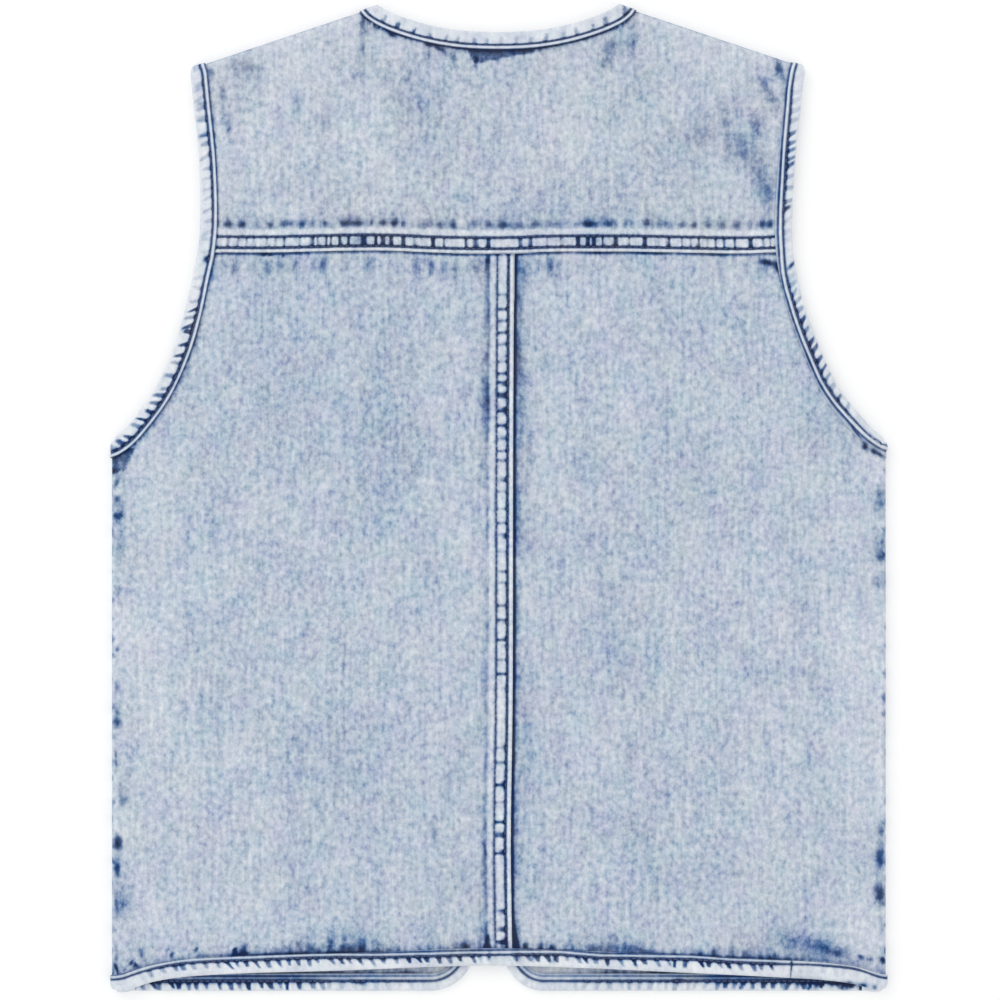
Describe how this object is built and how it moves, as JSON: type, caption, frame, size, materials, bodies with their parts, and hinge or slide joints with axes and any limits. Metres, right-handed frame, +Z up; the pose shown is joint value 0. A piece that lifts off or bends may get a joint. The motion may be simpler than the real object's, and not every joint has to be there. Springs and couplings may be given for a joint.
{
  "type": "denim vest",
  "caption": "Light washed sleeveless denim vest laid flat with its back up, bound edges, felled seams, arched back hem and open fronts beneath.",
  "frame": {"origin": "on the table under the middle of the garment as it lies", "axes": "+X to the wearer's right, +Y towards the neck, +Z up from the table, out of the garment's back"},
  "size_m": [0.4672, 0.5929, 0.0078],
  "materials": {
    "washed_denim": "light acid washed cotton twill, matt",
    "binding_denim": "self fabric binding, worn nearly white on its folds, matt",
    "topstitch_thread": "navy sewing thread, slightly glossy"
  },
  "bodies": {
    "root": {"back_yoke": "washed_denim", "back_left": "washed_denim", "back_right": "washed_denim", "front_left": "washed_denim", "front_right": "washed_denim", "armhole_binding_left": "binding_denim", "armhole_binding_right": "binding_denim", "neck_binding": "binding_denim", "hem_binding": "binding_denim", "front_binding_left": "binding_denim", "front_binding_right": "binding_denim"}
  },
  "joints": []
}
